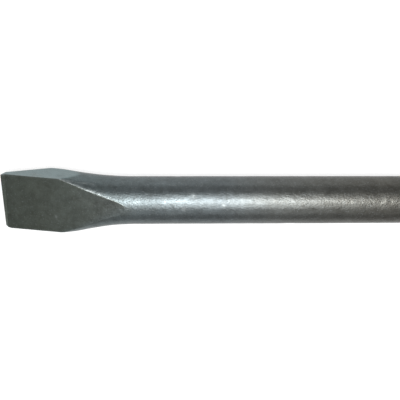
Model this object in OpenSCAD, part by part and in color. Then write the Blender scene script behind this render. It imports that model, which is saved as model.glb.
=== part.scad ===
// Cold chisel, forged in one piece from round bar.
// It lies flat: X runs from the cutting edge (-X) to the struck face (+X), Y is the width of
// the blade, Z is up and square to the broad faces. The origin is under the middle of the
// chisel, on the surface that it lies on. The zones of the one forging are separate solids
// that meet face to face.

/* [Bar] */
// Overall length, from the cutting edge to the struck face
chisel_l = 300; // [150:1:450]
// Diameter of the round bar
bar_d = 20; // [12:0.5:32]

/* [Cutting edge] */
// Length of the ground bevels, measured along the chisel
bevel_l = 1.9; // [1:0.1:5]
// Width of the small flat left along the very edge
edge_t = 0.2; // [0.05:0.05:1]
// How far each corner of the edge is ground back from the blade's side
corner_cut = 0.7; // [0:0.1:3]

/* [Blade] */
// Width across the narrow sides
blade_w = 25.4; // [20:0.1:40]
// Thickness where the bevels begin
blade_tip_t = 1.95; // [1:0.05:5]
// Angle between the two broad faces
blade_angle = 24.8; // [20:0.1:30]
// Distance from the cutting edge to the end of the straight-sided blade
blade_end = 20; // [12:0.5:26]

/* [Neck] */
// Distance from the cutting edge to where the round bar begins
neck_end = 55; // [53:0.5:90]
// Distance from the cutting edge to the widest part of the flare
flare_at = 12.9; // [8:0.1:20]
// How far the flare stands out from the bar
flare_h = 4.9; // [2:0.1:6]
// Sharpness of the flare's curve, 1 for a plain cosine
flare_power = 1.2; // [0.8:0.05:3]
// Slope of the broad faces where they run out into the bar
runout_angle = 5.5; // [3:0.1:12]
// Distance from the cutting edge to where the broad faces run out
runout_end = 51.6; // [44:0.1:52]
// Depth over which the two slopes of a broad face ease into each other
slope_ease = 0.8; // [0.2:0.1:3]
// Depth over which the broad faces ease into the bar
bar_ease = 0.35; // [0.1:0.05:1]

/* [Head] */
// Length of the tapered head
head_l = 14; // [6:0.5:30]
// Diameter at the small end of the head's taper
head_d = 16.4; // [10:0.1:30]
// Radius of the rounded rim round the struck face
rim_r = 2.2; // [0.5:0.1:4]

/* [Hidden] */
bar_r = bar_d / 2;
edge_x = -chisel_l / 2;
neck_steps = 18;
rim_steps = 6;
// Room beyond the forging for the outlines that it is cut with.
spare = 5;
// The run-out stays this far inside the bar, so that it cuts the flare cleanly.
skim = 0.001;
steel = [0.30, 0.32, 0.31];
ground_steel = [0.36, 0.38, 0.36];
round_fn = 96;

// Smaller of a and b, with the corner between them eased over k.
function eased_min(a, b, k) = min(a, b) - pow(max(k - abs(a - b), 0), 2) / (4 * k);

// Half thickness of the straight wedge at distance s from the edge.
function wedge_half(s) = blade_tip_t / 2 + tan(blade_angle / 2) * (s - bevel_l);

// Half thickness of the neck, where the broad faces turn to their gentler slope.
function forged_half(s) = eased_min(
    eased_min(
        wedge_half(s),
        bar_r + tan(runout_angle) * (s - runout_end),
        slope_ease
    ),
    bar_r - skim,
    bar_ease
);

// Radius of the flare at distance s from the edge.
function flare_r(s) = bar_r + flare_h
    * pow((1 + cos(180 * (s - flare_at) / (neck_end - flare_at))) / 2, flare_power);

// Turns an outline drawn as [distance from the edge, radius] about the axis of the bar.
module turned(outline) {
    translate([edge_x, 0, bar_r])
        rotate([0, 90, 0])
            rotate_extrude($fn = round_fn)
                polygon([for (p = outline) [p[1], p[0]]]);
}

// Extrudes an outline drawn as [distance from the edge, height] across the whole blade.
module across(outline) {
    translate([edge_x, 0, bar_r])
        rotate([90, 0, 0])
            linear_extrude(height = blade_w + 2 * spare, center = true)
                polygon(outline);
}

// Extrudes an outline drawn as [distance from the edge, width] through the whole bar.
module through(outline) {
    translate([edge_x, 0, -spare])
        linear_extrude(height = bar_d + 2 * spare)
            polygon(outline);
}

// Both halves of an outline that is the same on either side of the axis.
function mirrored(half) = concat(
    half,
    [for (i = [len(half) - 1 : -1 : 0]) [half[i][0], -half[i][1]]]
);

module cutting_edge() {
    color(ground_steel)
        intersection() {
            across(mirrored([[0, edge_t / 2], [bevel_l, blade_tip_t / 2]]));
            through(mirrored([[0, blade_w / 2 - corner_cut], [bevel_l, blade_w / 2]]));
        }
}

module blade() {
    color(steel)
        intersection() {
            across(mirrored([[bevel_l, blade_tip_t / 2], [blade_end, wedge_half(blade_end)]]));
            through(mirrored([[bevel_l, blade_w / 2], [blade_end, blade_w / 2]]));
        }
}

module neck() {
    step = (neck_end - blade_end) / neck_steps;
    stations = [for (i = [0 : neck_steps]) blade_end + i * step];
    faces = concat(
        [[blade_end, wedge_half(blade_end)]],
        [for (i = [1 : neck_steps]) [stations[i], forged_half(stations[i])]]
    );
    flare = concat([[blade_end, 0]], [for (s = stations) [s, flare_r(s)]], [[neck_end, 0]]);
    color(steel)
        intersection() {
            turned(flare);
            across(mirrored(faces));
            through(mirrored([[blade_end, blade_w / 2], [neck_end, blade_w / 2]]));
        }
}

module shank() {
    color(steel)
        translate([edge_x + neck_end, 0, bar_r])
            rotate([0, 90, 0])
                cylinder(r = bar_r, h = chisel_l - head_l - neck_end, $fn = round_fn);
}

module head() {
    rim = [
        for (i = [0 : rim_steps])
            let (turn = 90 * i / rim_steps)
                [
                    chisel_l - rim_r + rim_r * sin(turn),
                    head_d / 2 - rim_r + rim_r * cos(turn)
                ]
    ];
    color(steel)
        turned(concat(
            [[chisel_l - head_l, 0], [chisel_l - head_l, bar_r]],
            rim,
            [[chisel_l, 0]]
        ));
}

cutting_edge();
blade();
neck();
shank();
head();
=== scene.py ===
import math

import bpy
import numpy as np
from mathutils import Matrix, Vector


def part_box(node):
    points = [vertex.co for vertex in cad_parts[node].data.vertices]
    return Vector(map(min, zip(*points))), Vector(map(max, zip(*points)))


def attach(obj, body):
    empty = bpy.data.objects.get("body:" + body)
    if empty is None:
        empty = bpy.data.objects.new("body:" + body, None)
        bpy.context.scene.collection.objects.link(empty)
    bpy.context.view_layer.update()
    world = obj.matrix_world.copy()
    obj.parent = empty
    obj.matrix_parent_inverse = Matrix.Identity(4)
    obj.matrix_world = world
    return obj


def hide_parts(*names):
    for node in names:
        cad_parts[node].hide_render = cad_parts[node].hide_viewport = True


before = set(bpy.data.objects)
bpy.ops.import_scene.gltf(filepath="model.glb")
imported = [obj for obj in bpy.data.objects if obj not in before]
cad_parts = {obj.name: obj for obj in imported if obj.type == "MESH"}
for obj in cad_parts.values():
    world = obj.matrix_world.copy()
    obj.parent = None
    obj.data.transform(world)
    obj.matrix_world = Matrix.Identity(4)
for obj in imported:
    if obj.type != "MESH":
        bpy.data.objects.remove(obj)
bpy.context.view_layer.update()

MM = 0.001

# ---------------------------------------------------------------- places, from the frame

# A distance along the chisel, called s below, is measured from the cutting edge at EDGE_X.
# Across the section, v is along Y and w is up from the axis of the bar.
EDGE_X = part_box("cutting_edge")[0].x
BEVEL_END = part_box("cutting_edge")[1].x - EDGE_X
BLADE_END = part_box("blade")[1].x - EDGE_X
NECK_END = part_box("neck")[1].x - EDGE_X
HEAD_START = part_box("head")[0].x - EDGE_X
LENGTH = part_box("head")[1].x - EDGE_X
BAR_R = (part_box("shank")[1].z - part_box("shank")[0].z) / 2

# ---------------------------------------------------------------- the forging's shape

# Left is the side at +Y, whose narrow side leans, and right is the side at -Y.

# The ground edge and the wedge behind it.
EDGE_HALF_T = 0.10 * MM
TIP_HALF_T = (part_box("cutting_edge")[1].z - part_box("cutting_edge")[0].z) / 2
WEDGE_SLOPE = 0.2230
# How far the corners of the edge are ground back. On the left that ends with the bevel, and on
# the right it runs on a little further.
LEFT_CORNER_CUT = 0.7 * MM
RIGHT_CORNER_CUT = 0.85 * MM
RIGHT_CORNER_RUN = 3.2 * MM
# Out of square: how far the edge is set back at its right end, how far the bevel's end is
# shifted at its left and right ends, and the length of blade over which that fades out.
EDGE_SKEW = 0.85 * MM
BEVEL_SKEW = 0.10 * MM
SKEW_RUN = 8.0 * MM
# The gentler slope on which the broad faces run out into the bar, where it gets there, and the
# depths over which the two slopes, and then the bar, are eased into each other.
RUNOUT_SLOPE = 0.0975
RUNOUT_END = 50.9 * MM
SLOPE_EASE = 1.4 * MM
BAR_EASE = 0.04 * MM
# The flare: how far the bar is spread at each side, where that begins to fade on the left and
# how much later on the right, where it ends, and how sharply it fades.
SPREAD = 4.72 * MM
SPREAD_AT = 8.9 * MM
SPREAD_LAG = 7.3 * MM
SPREAD_END = 59.0 * MM
SPREAD_POWER = 1.55
# The narrow sides: their distance from the axis at the edge, the slope at which that grows
# along the blade, and the slope at which the left one leans inward, going up.
SIDE_HALF_W = 11.86 * MM
SIDE_GROWTH = 0.007
SIDE_LEAN = 0.110
# Depths that the edges between surfaces are rounded over. Along a ridge it is a share of how
# deeply the face cuts into the round bar, within limits, so that the face ends crisply.
RIDGE_SOFT_SHARE = 0.25
RIDGE_SOFT_LEAST = 0.002 * MM
RIDGE_SOFT_MOST = 0.25 * MM
SIDE_SOFT = 0.12 * MM


def eased_min(a, b, k):
    """Smaller of a and b, with the corner between them eased over k."""
    return np.minimum(a, b) - np.maximum(k - np.abs(a - b), 0.0) ** 2 / (4 * k)


def eased_max(a, b, k):
    """Larger of a and b, with the corner between them eased over k."""
    return -eased_min(-a, -b, k)


def half_thickness(s):
    """Half thickness between the broad faces, or between the bevels."""
    wedge = TIP_HALF_T + WEDGE_SLOPE * (s - BEVEL_END)
    runout = BAR_R + RUNOUT_SLOPE * (s - RUNOUT_END)
    forged = eased_min(eased_min(wedge, runout, SLOPE_EASE), BAR_R, BAR_EASE)
    ground = EDGE_HALF_T + (TIP_HALF_T - EDGE_HALF_T) * s / BEVEL_END
    return np.where(s < BEVEL_END, ground, forged)


def spread(s, side):
    """How far the round flank stands out sideways. side is above 0 on the left."""
    start = SPREAD_AT + np.where(side < 0, SPREAD_LAG, 0.0)
    t = np.clip((s - start) / (SPREAD_END - start), 0.0, 1.0)
    return SPREAD * ((1 + np.cos(np.pi * t)) / 2) ** SPREAD_POWER


def side_half_width(s, side):
    """Distance of a narrow side from the axis, less where its corner is ground back."""
    left_cut = LEFT_CORNER_CUT * np.clip(1 - s / BEVEL_END, 0.0, 1.0)
    right_cut = RIGHT_CORNER_CUT * np.clip(1 - s / RIGHT_CORNER_RUN, 0.0, 1.0)
    return SIDE_HALF_W + SIDE_GROWTH * s - np.where(side < 0, right_cut, left_cut)


def surfaces(s, v, w):
    """Distances of a point outside the flanks, the broad faces and the narrow sides."""
    flank = np.hypot(np.maximum(np.abs(v) - spread(s, v), 0.0), w) - BAR_R
    face = np.abs(w) - half_thickness(s)
    side = np.abs(v) + np.where(v > 0, SIDE_LEAN * w, 0.0) - side_half_width(s, v)
    return flank, face, side


def outside(s, v, w):
    """Distance of a point outside the forging, roughly, with its edges rounded."""
    flank, face, side = surfaces(s, v, w)
    cut = BAR_R - half_thickness(s)
    ridge_soft = np.clip(RIDGE_SOFT_SHARE * cut, RIDGE_SOFT_LEAST, RIDGE_SOFT_MOST)
    side_soft = np.minimum(SIDE_SOFT, half_thickness(s))
    return eased_max(eased_max(flank, face, ridge_soft), side, side_soft)


def skew(s, v):
    """How far a point is shifted along the chisel by the out-of-square edge and bevel."""
    across = v / SIDE_HALF_W
    edge = EDGE_SKEW * (1 - across) / 2
    bevel = BEVEL_SKEW * across
    ground = edge + (bevel - edge) * s / BEVEL_END
    fade = max(0.0, 1 - (s - BEVEL_END) / SKEW_RUN)
    return ground if s < BEVEL_END else bevel * fade


# ---------------------------------------------------------------- points round a section

# Columns of points in a quarter of the section: up the side, round the flank, across the face.
SIDE_COLUMNS = 8
FLANK_COLUMNS = 16
FACE_COLUMNS = 14
# The flank's columns, which are closer together at both ends, also take in the edges between
# surfaces. They reach this far past them, or this share of the half thickness if that is less.
EDGE_MARGIN = 0.3 * MM
EDGE_MARGIN_SHARE = 0.3
# Limits for where the flank's columns begin, as a least share of the side and as least and
# most shares of the whole path, and the most for where they end.
BEGIN_LEAST_OF_SIDE = 0.25
BEGIN_LEAST = 0.04
BEGIN_MOST = 0.4
FINISH_MOST = 0.93
# Length of bar behind the neck over which the columns even out.
EVENING_RUN = 20 * MM
# Halvings that find the surface, to well under a nanometre.
HALVINGS = 44


def eased_steps(n):
    """Where each of n steps from 0 to 1 begins, closer together at both ends."""
    t = np.arange(n) / n
    return (1 - np.cos(np.pi * t)) / 2


def quadrant(s, side, lean):
    """Directions of the points in a quarter of the section, from its side to its face.

    They are spread along the sharp-edged section. side is 1 on the left and -1 on the right,
    and lean is that side's slope inward over this quarter.
    """
    h = float(half_thickness(s))
    shift = float(spread(s, side))
    width = float(side_half_width(s, side)) - lean * h
    ridge = math.asin(min(h / BAR_R, 1.0))
    if width <= shift + BAR_R * math.cos(ridge):
        # The side meets the face directly.
        turn, side_len, flank_len, face_len = ridge, h, 0.0, width
    else:
        width = min(width, BAR_R + shift)
        turn = math.acos((width - shift) / BAR_R)
        side_len = BAR_R * math.sin(turn)
        flank_len = BAR_R * (ridge - turn)
        face_len = shift + BAR_R * math.cos(ridge)
    total = side_len + flank_len + face_len
    margin = min(EDGE_MARGIN, EDGE_MARGIN_SHARE * h)
    begin = max(side_len - margin, BEGIN_LEAST_OF_SIDE * side_len, BEGIN_LEAST * total)
    begin = min(begin, BEGIN_MOST * total)
    finish = max(side_len + flank_len + margin, begin + 2 * margin)
    finish = min(finish, FINISH_MOST * total)
    # On the plain bar the columns are spread out evenly.
    even = float(np.clip((s - NECK_END) / EVENING_RUN, 0.0, 1.0))
    columns = SIDE_COLUMNS + FLANK_COLUMNS + FACE_COLUMNS
    begin += even * (SIDE_COLUMNS / columns * total - begin)
    finish += even * ((SIDE_COLUMNS + FLANK_COLUMNS) / columns * total - finish)
    even_steps = np.arange(FLANK_COLUMNS) / FLANK_COLUMNS
    flank_steps = eased_steps(FLANK_COLUMNS) * (1 - even) + even_steps * even
    path = np.concatenate(
        [
            begin * np.arange(SIDE_COLUMNS) / SIDE_COLUMNS,
            begin + (finish - begin) * flank_steps,
            finish + (total - finish) * np.arange(FACE_COLUMNS + 1) / FACE_COLUMNS,
        ]
    )
    angles = np.empty_like(path)
    for i, p in enumerate(path):
        if p < side_len:
            angles[i] = math.atan2(p, width)
        elif p < side_len + flank_len:
            a = turn + (p - side_len) / BAR_R
            angles[i] = math.atan2(BAR_R * math.sin(a), shift + BAR_R * math.cos(a))
        else:
            angles[i] = math.atan2(h, max(total - p, 0.0))
    return angles


def ring_angles(s):
    """Directions of a whole ring of points round the section."""
    left_top = quadrant(s, 1, SIDE_LEAN)
    left_bottom = quadrant(s, 1, -SIDE_LEAN)
    right = quadrant(s, -1, 0)
    return np.concatenate(
        [
            left_top[:-1],
            np.pi - right[:0:-1],
            np.pi + right[:-1],
            2 * np.pi - left_bottom[:0:-1],
        ]
    )


def surface_radius(s, dv, dw):
    """Distance of the surface from the axis in each direction, found by halving."""
    low, high = np.zeros_like(dv), np.full_like(dv, 2 * BAR_R)
    for _ in range(HALVINGS):
        mid = (low + high) / 2
        out = outside(s, mid * dv, mid * dw) > 0
        high = np.where(out, mid, high)
        low = np.where(out, low, mid)
    return low


# ---------------------------------------------------------------- marks in the skin

# Waves that make up a bumpy surface, their sizes as shares of the size asked for, and the share
# of their total height that they mostly keep to.
WAVES = 7
WAVE_SIZES = (0.7, 1.5)
WAVE_HEIGHT = 0.7
# Depths of the forging marks and of the finer marks of scale, and the deepest that either gets,
# as a multiple of its depth.
FORGE_MARKS = 0.018 * MM
SCALE_MARKS = 0.006 * MM
DEEPEST = 2.4
# Bumps that they are made of, as (size, seed), and the share of the lesser ones in the forging.
BROAD_BUMPS = (9 * MM, 3)
LESSER_BUMPS = (4 * MM, 8)
LESSER_SHARE = 0.6
SCALE_BUMPS = (1.5 * MM, 5)
# Length of blade behind the bevel over which the marks come in.
MARKS_RUN = 6 * MM
# Shallow pits: how many, the largest radius and depth, how many radii each one reaches, and the
# length of bar before the head where none is centred.
PIT_COUNT = 420
PIT_RADIUS = 1.3 * MM
PIT_DEPTH = 0.09 * MM
PIT_REACH = 2.2
PIT_FREE_END = 1 * MM
# Ranges for the square root of a pit's share of the largest radius, and for its share of the
# depth that goes with its radius, and the seed of the pits.
PIT_ROOTS = (0.5, 1.0)
PIT_DEPTHS = (0.3, 1.0)
PIT_SEED = 21
# The larger nicks, as (distance from the edge, direction round the bar, radius, depth).
NICKS = [
    (22.6 * MM, math.radians(133), 0.45 * MM, 0.10 * MM),
    (78.4 * MM, math.radians(63), 1.0 * MM, 0.10 * MM),
    (90.8 * MM, math.radians(82), 0.8 * MM, 0.08 * MM),
    (74.7 * MM, math.radians(92), 0.8 * MM, 0.08 * MM),
]


def wander(x, y, z, size, seed):
    """Smooth bumps of about that size, mostly from -1 to 1: crossed waves, seeded."""
    rng = np.random.default_rng(seed)
    total = np.zeros_like(x)
    for _ in range(WAVES):
        d = rng.normal(size=3)
        d *= 2 * np.pi / (size * rng.uniform(*WAVE_SIZES) * np.linalg.norm(d))
        total += np.sin(d[0] * x + d[1] * y + d[2] * z + rng.uniform(0, 2 * np.pi))
    return total / (WAVES * WAVE_HEIGHT)


def scattered_pits():
    """Shallow pits left in the skin by scale, as (s, direction, radius, depth) rows."""
    rng = np.random.default_rng(PIT_SEED)
    along = rng.uniform(BEVEL_END + MARKS_RUN, HEAD_START - PIT_FREE_END, PIT_COUNT)
    angle = rng.uniform(0, 2 * np.pi, PIT_COUNT)
    radius = PIT_RADIUS * rng.uniform(*PIT_ROOTS, PIT_COUNT) ** 2
    depth = PIT_DEPTH * rng.uniform(*PIT_DEPTHS, PIT_COUNT) * radius / PIT_RADIUS
    return np.stack([along, angle, radius, depth], axis=1)


PITS = np.concatenate([scattered_pits(), np.array(NICKS)])


def around(v, w, angle):
    """Distance round the section from the points to a direction."""
    turn = (np.arctan2(w, v) - angle + np.pi) % (2 * np.pi) - np.pi
    return np.abs(turn) * np.hypot(v, w)


def skin_depth(s, v, w):
    """How far marks and pits sink the skin below the true form, never above it."""
    x = np.full_like(v, s)
    bumps = wander(x, v, w, *BROAD_BUMPS) + LESSER_SHARE * wander(x, v, w, *LESSER_BUMPS)
    depth = FORGE_MARKS * np.clip(1 + bumps, 0, DEEPEST)
    depth += SCALE_MARKS * np.clip(1 + wander(x, v, w, *SCALE_BUMPS), 0, DEEPEST)
    near = PITS[np.abs(PITS[:, 0] - s) < PIT_REACH * PITS[:, 2]]
    for along, angle, radius, sink in near:
        gap = around(v, w, angle)
        depth += sink * np.exp(-((gap / radius) ** 2) - ((s - along) / radius) ** 2)
    return depth * np.clip((s - BEVEL_END) / MARKS_RUN, 0, 1)


# ---------------------------------------------------------------- wear and tone

# Paler bands along the ridges between faces and flanks, partly wear and partly a painted
# highlight
# where the left ridges catch the light: how far they reach, how far they cross onto the face, and
# how far they stay from the narrow sides. The right ridges get only a small share of it.
RIDGE_WEAR_AND_GLINT = 0.5 * MM
RIDGE_CROSSING = 0.08 * MM
SIDE_CLEARANCE = 0.2 * MM
RIGHT_RIDGE_SHARE = 0.12
# Wear along the rims of the narrow sides and in the nicks, as shares of the paleness of the left
# ridges.
RIM_WEAR = 0.25 * MM
RIM_WEAR_SHARE = 0.5
NICK_WEAR_SHARE = 0.5
# Where along the neck the paler ridges and rims and the paler narrow sides end, painted highlight
# and reflection with them, and the length before that over which they fade out.
PALE_MARKS_END = 47.0 * MM
PALE_MARKS_FADE = 12.0 * MM
# The narrow sides are paler and bluer, partly bare metal and partly a painted reflection of the
# white floor beside them, and that fades out within this distance of them.
BARE_AND_REFLECTION_BAND = 0.3 * MM
# Widths over which the faces' tone turns into the flanks' on the left and on the right, and the
# length of neck at its end over which the faces' tone fades out.
LEFT_TONE_BAND = 0.08 * MM
RIGHT_TONE_BAND = 2.0 * MM
TONE_FADE = 3 * MM


def surface_marks(s, v, w):
    """Paler ridges, partly wear and painted highlight, paler narrow sides, partly bare metal and
    painted reflection, and the faces' own tone at the points of a ring, each from 0 to 1.
    """
    flank, face, side = surfaces(s, v, w)
    fade = np.clip((PALE_MARKS_END - s) / PALE_MARKS_FADE, 0, 1)
    # Painted highlight, partly wear: the ridges, the left ones above all, are made paler.
    on_ridge = (side < -SIDE_CLEARANCE) * (flank > face - RIDGE_CROSSING)
    ridge = np.exp(-(((flank - face) / RIDGE_WEAR_AND_GLINT) ** 2)) * on_ridge
    ridge = ridge * np.where(v > 0, 1.0, RIGHT_RIDGE_SHARE)
    rim = np.exp(-(((face - side) / RIM_WEAR) ** 2))
    wear = np.maximum(ridge, RIM_WEAR_SHARE * rim) * fade
    for along, angle, radius, _ in NICKS:
        gap = np.hypot(around(v, w, angle), s - along)
        wear = np.maximum(wear, NICK_WEAR_SHARE * np.exp(-((gap / radius) ** 2)))
    # Painted reflection, partly bare metal: the narrow sides are made paler.
    bare = np.clip((side + BARE_AND_REFLECTION_BAND) / BARE_AND_REFLECTION_BAND, 0, 1) * fade
    tone_band = np.where(v > 0, LEFT_TONE_BAND, RIGHT_TONE_BAND)
    tone_fade = np.clip((NECK_END - s) / TONE_FADE, 0, 1)
    on_face = np.clip((face - flank) / tone_band + 0.5, 0, 1) * tone_fade
    return {"wear": wear, "bare": bare, "on_face": on_face}


def forged_ring(s):
    """One ring of the forging's points, and their marks."""
    angles = ring_angles(s)
    dv, dw = np.cos(angles), np.sin(angles)
    smooth_r = surface_radius(s, dv, dw)
    r = smooth_r - skin_depth(s, smooth_r * dv, smooth_r * dw)
    v, w = r * dv, r * dw
    points = np.stack([EDGE_X + s + skew(s, v), v, w + BAR_R], axis=1)
    return points, surface_marks(s, v, w)


# ---------------------------------------------------------------- mesh building


def lofted_mesh(name, rings):
    """A closed mesh through rings of points, smooth except for the flat cap at each end."""
    n, count = len(rings[0]), len(rings)
    centres = [rings[0].mean(axis=0)[None], rings[-1].mean(axis=0)[None]]
    points = np.concatenate(rings + centres)
    start, end, last = len(points) - 2, len(points) - 1, (count - 1) * n
    j = np.arange(n)
    k = (j + 1) % n
    rows = (np.arange(count - 1) * n)[:, None]
    walls = np.stack([rows + j, rows + n + j, rows + n + k, rows + k], axis=2).reshape(-1, 4)
    near = np.stack([np.full(n, start), j, k], axis=1)
    far = np.stack([np.full(n, end), last + k, last + j], axis=1)
    mesh = bpy.data.meshes.new(name)
    mesh.from_pydata(points.tolist(), [], walls.tolist() + near.tolist() + far.tolist())
    mesh.update()
    mesh.polygons.foreach_set("use_smooth", np.arange(len(mesh.polygons)) < len(walls))
    return mesh


def mark_points(mesh, marks):
    """Stores the marks of the rings as point attributes, which are 0 at the caps' centres."""
    for mark, values in marks.items():
        layer = mesh.attributes.new(mark, "FLOAT", "POINT")
        numbers = np.concatenate(list(values) + [np.zeros(2)])
        layer.data.foreach_set("value", numbers.astype(np.float32))


def sharpen_caps(mesh, n, last):
    """Makes the edges sharp round both caps: rings of n points that start at 0 and at last."""
    ends = np.zeros(len(mesh.edges) * 2, dtype=np.int32)
    mesh.edges.foreach_get("vertices", ends)
    ends = ends.reshape(-1, 2)
    on_start = (ends < n).all(axis=1)
    on_end = ((ends >= last) & (ends < last + n)).all(axis=1)
    sharp = mesh.attributes.new("sharp_edge", "BOOLEAN", "EDGE")
    sharp.data.foreach_set("value", on_start | on_end)


def loft(name, rings, marks, material):
    """A piece of the forging through rings of points.

    marks is a dictionary of point attributes, each a list with one array per ring.
    """
    n = len(rings[0])
    mesh = lofted_mesh(name, rings)
    mark_points(mesh, marks)
    sharpen_caps(mesh, n, (len(rings) - 1) * n)
    piece = bpy.data.objects.new(name, mesh)
    bpy.context.collection.objects.link(piece)
    mesh.materials.append(material)
    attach(piece, "root")
    return piece


# ---------------------------------------------------------------- materials


class Nodes:
    """A short way to lay out a material's nodes."""

    def __init__(self, name):
        self.material = bpy.data.materials.new(name)
        self.material.use_nodes = True
        self.tree = self.material.node_tree
        self.bsdf = self.tree.nodes["Principled BSDF"]
        self.coords = self.tree.nodes.new("ShaderNodeTexCoord").outputs["Object"]

    def link(self, a, b):
        self.tree.links.new(a, b)

    def noise(self, scale, detail, roughness):
        """Noise of that scale, which is roughly how many bumps there are to a metre."""
        node = self.tree.nodes.new("ShaderNodeTexNoise")
        node.inputs["Scale"].default_value = scale
        node.inputs["Detail"].default_value = detail
        node.inputs["Roughness"].default_value = roughness
        self.link(self.coords, node.inputs["Vector"])
        return node.outputs["Fac"]

    def ramp(self, fac, stops):
        """Colour at fac along the stops, which are (place, colour) pairs."""
        node = self.tree.nodes.new("ShaderNodeValToRGB")
        ramp = node.color_ramp
        while len(ramp.elements) < len(stops):
            ramp.elements.new(0.5)
        for element, (place, colour) in zip(ramp.elements, stops):
            element.position = place
            element.color = (*colour, 1)
        self.link(fac, node.inputs["Fac"])
        return node.outputs["Color"]

    def span(self, value, a, b, c, d):
        """value from a..b, mapped to c..d and kept within it."""
        node = self.tree.nodes.new("ShaderNodeMapRange")
        for name, number in zip(("From Min", "From Max", "To Min", "To Max"), (a, b, c, d)):
            node.inputs[name].default_value = number
        self.link(value, node.inputs["Value"])
        return node.outputs["Result"]

    def times(self, a, b):
        """Product of two values."""
        node = self.tree.nodes.new("ShaderNodeMath")
        node.operation = "MULTIPLY"
        self.link(a, node.inputs[0])
        self.link(b, node.inputs[1])
        return node.outputs[0]

    def mix(self, fac, a, b, blend="MIX"):
        """Colour a blended with colour b. Inputs 6 and 7 and output 2 are those for colours."""
        node = self.tree.nodes.new("ShaderNodeMix")
        node.data_type = "RGBA"
        node.blend_type = blend
        for socket, value in ((node.inputs[0], fac), (node.inputs[6], a), (node.inputs[7], b)):
            if isinstance(value, (int, float)):
                socket.default_value = value
            elif isinstance(value, tuple):
                socket.default_value = (*value, 1)
            else:
                self.link(value, socket)
        return node.outputs[2]

    def bump(self, height, strength, distance, normal=None):
        """Normal of a surface with bumps of that height, on top of another normal."""
        node = self.tree.nodes.new("ShaderNodeBump")
        node.inputs["Strength"].default_value = strength
        node.inputs["Distance"].default_value = distance
        self.link(height, node.inputs["Height"])
        if normal:
            self.link(normal, node.inputs["Normal"])
        return node.outputs["Normal"]

    def attribute(self, name):
        """Value of a point attribute of the mesh."""
        node = self.tree.nodes.new("ShaderNodeAttribute")
        node.attribute_name = name
        return node.outputs["Fac"]

    def along(self):
        """Distance along the chisel, as the object coordinate X."""
        node = self.tree.nodes.new("ShaderNodeSeparateXYZ")
        self.link(self.coords, node.inputs["Vector"])
        return node.outputs["X"]


# Tone of the skin, by place from the cutting edge (0) to the struck face (1), partly the steel's
# own tone and partly painted light: its steps also stand in for the colour of the light and for
# how brightly it falls on each stretch. The broad faces are greenish. The round surfaces are cool
# at the neck, then neutral, then a little warm.
FACE_TONES_AND_LIGHT = [
    (0.00, (0.078, 0.091, 0.079)),
    (0.05, (0.092, 0.105, 0.091)),
    (0.10, (0.106, 0.122, 0.110)),
    (0.15, (0.096, 0.107, 0.101)),
    (0.19, (0.090, 0.100, 0.096)),
]
ROUND_TONES_AND_LIGHT = [
    (0.08, (0.096, 0.120, 0.123)),
    (0.21, (0.098, 0.114, 0.119)),
    (0.30, (0.100, 0.114, 0.119)),
    (0.37, (0.103, 0.109, 0.106)),
    (0.45, (0.088, 0.090, 0.084)),
    (0.53, (0.080, 0.079, 0.071)),
    (1.00, (0.085, 0.086, 0.079)),
]
BRIGHT_SPECK = (0.22, 0.24, 0.245)
# Paler, bluer tone of the narrow sides: partly bare metal, partly a painted reflection of the
# floor.
BARE_SIDE_AND_REFLECTION = (0.188, 0.240, 0.246)
# Paler tone of the worn edges, which along the left ridges is also a painted highlight.
EDGE_WEAR_AND_GLINT = (0.40, 0.43, 0.43)
# How much the steel reflects at a grazing angle.
GRAZING_TINT = (0.8, 0.8, 0.8, 1)
# Each noise is its scale per metre, its detail and its roughness. A span takes its first two
# numbers to its last two. Each steel has its own roughness, which ROUGH_RANGE is taken to.
BLOTCH_NOISE = (110.0, 4.0, 0.6)
BLOTCH_TONES = [(0.30, (0.84, 0.84, 0.84)), (0.70, (1.14, 1.14, 1.14))]
STAIN_NOISE = (420.0, 3.0, 0.6)
STAIN_TONES = [(0.30, (0.88, 0.86, 0.84)), (0.62, (1.08, 1.08, 1.08))]
SPECK_NOISE = (1500.0, 2.0, 0.6)
SPECK_SPAN = (0.58, 0.74, 0.0, 0.42)
BARE_AND_REFLECTION_NOISE = (300.0, 3.0, 0.55)
BARE_AND_REFLECTION_SPAN = (0.3, 0.6, 0.65, 1.0)
WEAR_AND_GLINT_NOISE = (700.0, 3.0, 0.55)
WEAR_AND_GLINT_SPAN = (0.35, 0.65, 0.25, 0.8)
ROUGH_NOISE = (300.0, 4.0, 0.65)
ROUGH_RANGE = (0.3, 0.7)
# The grain is two sizes of bumps, which are lower on the broad faces.
GRAIN_NOISE = (600.0, 3.0, 0.6)
GRAIN_DEPTH = 0.09 * MM
FINE_NOISE = (1300.0, 2.0, 0.6)
FINE_DEPTH = 0.10 * MM
FACE_GRAIN = 0.4


def skin(m, gain):
    """Colour of the forged skin: its tone along the chisel, partly painted light, then blotches,
    stains and specks.
    """
    place = m.span(m.along(), EDGE_X, EDGE_X + LENGTH, 0.0, 1.0)
    face, rest = (
        m.ramp(place, [(at, tuple(gain * c for c in tone)) for at, tone in tones])
        for tones in (FACE_TONES_AND_LIGHT, ROUND_TONES_AND_LIGHT)
    )
    base = m.mix(m.attribute("on_face"), rest, face)
    blotches = m.ramp(m.noise(*BLOTCH_NOISE), BLOTCH_TONES)
    base = m.mix(1.0, base, blotches, "MULTIPLY")
    stains = m.ramp(m.noise(*STAIN_NOISE), STAIN_TONES)
    base = m.mix(1.0, base, stains, "MULTIPLY")
    specks = m.span(m.noise(*SPECK_NOISE), *SPECK_SPAN)
    return m.mix(specks, base, tuple(gain * c for c in BRIGHT_SPECK))


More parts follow.
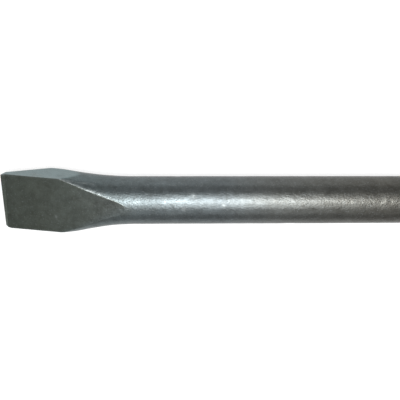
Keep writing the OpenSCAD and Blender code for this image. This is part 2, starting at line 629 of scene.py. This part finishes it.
def steel(name, gain, rough_low, rough_high, grain):
    """Dark forged and hardened steel with a fine scaly grain, paler along its edges and narrow
    sides, partly rubbed bare and partly painted highlight and reflection.

    gain brightens the skin, and grain is the strength of its bumps.
    """
    m = Nodes(name)
    base = skin(m, gain)
    # The narrow sides: partly bare metal, partly a painted reflection of the floor.
    bare = m.times(m.attribute("bare"), m.span(m.noise(*BARE_AND_REFLECTION_NOISE), *BARE_AND_REFLECTION_SPAN))
    base = m.mix(bare, base, BARE_SIDE_AND_REFLECTION)
    # The edges: partly wear, partly a painted highlight along the left ridges.
    wear = m.times(m.attribute("wear"), m.span(m.noise(*WEAR_AND_GLINT_NOISE), *WEAR_AND_GLINT_SPAN))
    base = m.mix(wear, base, EDGE_WEAR_AND_GLINT)
    m.link(base, m.bsdf.inputs["Base Color"])
    rough = m.span(m.noise(*ROUGH_NOISE), *ROUGH_RANGE, rough_low, rough_high)
    m.link(rough, m.bsdf.inputs["Roughness"])
    m.bsdf.inputs["Metallic"].default_value = 1.0
    m.bsdf.inputs["Specular Tint"].default_value = GRAZING_TINT
    height = m.span(m.attribute("on_face"), 0.0, 1.0, 1.0, FACE_GRAIN)
    scale = m.bump(m.times(m.noise(*GRAIN_NOISE), height), grain, GRAIN_DEPTH)
    fine = m.bump(m.times(m.noise(*FINE_NOISE), height), grain, FINE_DEPTH, scale)
    m.link(fine, m.bsdf.inputs["Normal"])
    return m.material


forged_steel = steel("forged_steel", gain=1.0, rough_low=0.27, rough_high=0.37, grain=0.8)
ground_edge = steel("ground_edge", gain=1.4, rough_low=0.30, rough_high=0.42, grain=0.4)
struck_head = steel("struck_head", gain=1.0, rough_low=0.28, rough_high=0.42, grain=0.7)

# ---------------------------------------------------------------- the five zones

# Distances between rings of points.
EDGE_STEP = 0.2 * MM
BLADE_STEP = 0.45 * MM
BAR_STEP = 0.6 * MM
# The head: the radius at the small end of its taper, the rounded rim, the reach of the wear
# where the rim begins, and how much deeper the struck face is marked than the rest.
HEAD_END_R = 8.2 * MM
RIM_R = 2.2 * MM
HEAD_WEAR = 1.5 * MM
HAMMER_MARKS = 3.0
# Points along the taper, round the rim and across the struck face, and how near the innermost
# one is to the axis, as a share of the flat face's radius.
TAPER_POINTS = 12
RIM_POINTS = 13
FACE_POINTS = 10
INNERMOST = 0.05


def forged_zone(name, node, start, end, step, slot, material):
    """The stretch of the forging between two distances from the cutting edge."""
    rows = max(2, int(round((end - start) / step)))
    stations = start + (end - start) * np.arange(rows + 1) / rows
    rings, marks = zip(*[forged_ring(s) for s in stations])
    marks = {mark: [ring[mark] for ring in marks] for mark in marks[0]}
    piece = loft(name, list(rings), marks, material)
    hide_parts(node)


def head_profile():
    """The head's outline as (distance from the cutting edge, radius): taper, rim, struck face."""
    rim_start, flat_r = LENGTH - RIM_R, HEAD_END_R - RIM_R
    taper = [
        (HEAD_START + (rim_start - HEAD_START) * t, BAR_R + (HEAD_END_R - BAR_R) * t)
        for t in np.linspace(0, 1, TAPER_POINTS)
    ]
    rim = [
        (rim_start + RIM_R * math.sin(a), flat_r + RIM_R * math.cos(a))
        for a in np.linspace(0, math.pi / 2, RIM_POINTS)[1:]
    ]
    face = [(LENGTH, flat_r * t) for t in np.linspace(1, INNERMOST, FACE_POINTS)[1:]]
    return taper + rim + face


def struck_end():
    """The head, whose marks sink its taper inward and its struck face backward."""
    angles = ring_angles(HEAD_START)
    rings, wear = [], []
    for s, radius in head_profile():
        sink = skin_depth(s, radius * np.cos(angles), radius * np.sin(angles))
        past_taper = s - LENGTH + RIM_R
        turn = float(np.clip(past_taper / RIM_R, 0, 1))
        r = radius - sink * (1 - turn)
        x = EDGE_X + s - HAMMER_MARKS * sink * turn
        rings.append(np.stack([x, r * np.cos(angles), r * np.sin(angles) + BAR_R], axis=1))
        wear.append(np.full_like(angles, math.exp(-((past_taper / HEAD_WEAR) ** 2))))
    none = [np.zeros_like(angles) for _ in rings]
    marks = {"wear": wear, "bare": none, "on_face": none}
    piece = loft("struck_end", rings, marks, struck_head)
    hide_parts("head")


FORGED_ZONES = [
    # name, the node it stands for, start, end, step, slot, material
    ("edge_bevels", "cutting_edge", 0.0, BEVEL_END, EDGE_STEP, "ground_edge", ground_edge),
    ("flat_blade", "blade", BEVEL_END, BLADE_END, BLADE_STEP, "forged_steel", forged_steel),
    ("flared_neck", "neck", BLADE_END, NECK_END, BLADE_STEP, "forged_steel", forged_steel),
    ("round_shank", "shank", NECK_END, HEAD_START, BAR_STEP, "forged_steel", forged_steel),
]
for zone in FORGED_ZONES:
    forged_zone(*zone)
struck_end()

# ---------------------------------------------------------------- floor, camera and lights

FLOOR_HALF_SIZE = 30.0
FLOOR_TONE = (0.30, 0.30, 0.30, 1)
FLOOR_ROUGHNESS = 0.9
FLOOR_SHEEN = 0.1
FLOOR_GLOW = 0.74
WHITE = (1, 1, 1, 1)
WORLD_LIGHT = 0.60
# The camera looks down on the broad face, from the side where the leaning narrow side shows.
VIEW_TILT = math.radians(20.06)
VIEW_YAW = math.radians(3.0)
VIEW_ROLL = math.radians(0.13)
VIEW_DISTANCE = 0.300
VIEW_FROM_EDGE = 81.7 * MM
VIEW_DROP = -0.05 * MM
LENS = 64.50
SENSOR_WIDTH = 36.0
NEAREST_SEEN = 10 * MM
# The place on the bar's axis that the camera and the lights face.
AIM = Vector((EDGE_X + VIEW_FROM_EDGE, 0, BAR_R))
LIGHTS = [
    # name, degrees round the bar from the camera's tilt, shift along the bar, distance,
    # (length, width), power
    ("key", -2, 0.06, 0.60, (0.30, 0.06), 0.75),
    ("key_below", -10, 0.06, 0.70, (0.36, 0.12), 2.35),
    ("key_above", 14, 0.06, 0.80, (0.34, 0.16), 0.95),
    ("second", -22, 0.06, 0.90, (0.40, 0.20), 1.1),
    ("third", -34, 0.11, 1.0, (0.46, 0.20), 1.55),
    ("fill", -62, 0.10, 1.2, (0.9, 0.4), 1.05),
]


def floor():
    """A light table: it glows, so that the chisel casts hardly any shadow."""
    size = FLOOR_HALF_SIZE
    mesh = bpy.data.meshes.new("floor")
    corners = [(-size, -size, 0), (size, -size, 0), (size, size, 0), (-size, size, 0)]
    mesh.from_pydata(corners, [], [(0, 1, 2, 3)])
    obj = bpy.data.objects.new("floor", mesh)
    bpy.context.collection.objects.link(obj)
    m = Nodes("floor")
    m.bsdf.inputs["Base Color"].default_value = FLOOR_TONE
    m.bsdf.inputs["Roughness"].default_value = FLOOR_ROUGHNESS
    m.bsdf.inputs["Specular IOR Level"].default_value = FLOOR_SHEEN
    m.bsdf.inputs["Emission Color"].default_value = WHITE
    m.bsdf.inputs["Emission Strength"].default_value = FLOOR_GLOW
    mesh.materials.append(m.material)


def camera():
    """The camera, whose right, up and back directions are the rows of axes."""
    data = bpy.data.cameras.new("camera")
    data.lens = LENS
    data.sensor_width = SENSOR_WIDTH
    data.clip_start = NEAREST_SEEN
    obj = bpy.data.objects.new("camera", data)
    bpy.context.collection.objects.link(obj)
    tilt = Matrix.Rotation(VIEW_TILT, 3, "X")
    yaw = Matrix.Rotation(VIEW_YAW, 3, "Y")
    roll = Matrix.Rotation(VIEW_ROLL, 3, "Z")
    axes = roll @ yaw @ tilt
    place = AIM + axes.transposed() @ Vector((0, VIEW_DROP, VIEW_DISTANCE))
    obj.matrix_world = Matrix.Translation(place) @ axes.transposed().to_4x4()
    bpy.context.scene.camera = obj


def softbox(name, degrees, shift, distance, size, power):
    """A rectangular light that faces the bar, turned round it from the camera's tilt."""
    data = bpy.data.lights.new(name, "AREA")
    data.shape = "RECTANGLE"
    data.size, data.size_y = size
    data.energy = power
    obj = bpy.data.objects.new(name, data)
    bpy.context.collection.objects.link(obj)
    angle = VIEW_TILT + math.radians(degrees)
    right = Vector((1, 0, 0))
    back = Vector((0, math.sin(angle), math.cos(angle)))
    up = back.cross(right)
    turn = Matrix((right, up, back)).transposed().to_4x4()
    place = AIM + back * distance + Vector((shift, 0, 0))
    obj.matrix_world = Matrix.Translation(place) @ turn
    obj.visible_camera = False


def surroundings():
    """Plain white light from all round."""
    world = bpy.data.worlds.new("studio")
    bpy.context.scene.world = world
    world.use_nodes = True
    background = world.node_tree.nodes["Background"]
    background.inputs["Color"].default_value = WHITE
    background.inputs["Strength"].default_value = WORLD_LIGHT


floor()
camera()
for light in LIGHTS:
    softbox(*light)
surroundings()
bpy.context.scene.view_settings.view_transform = "Standard"
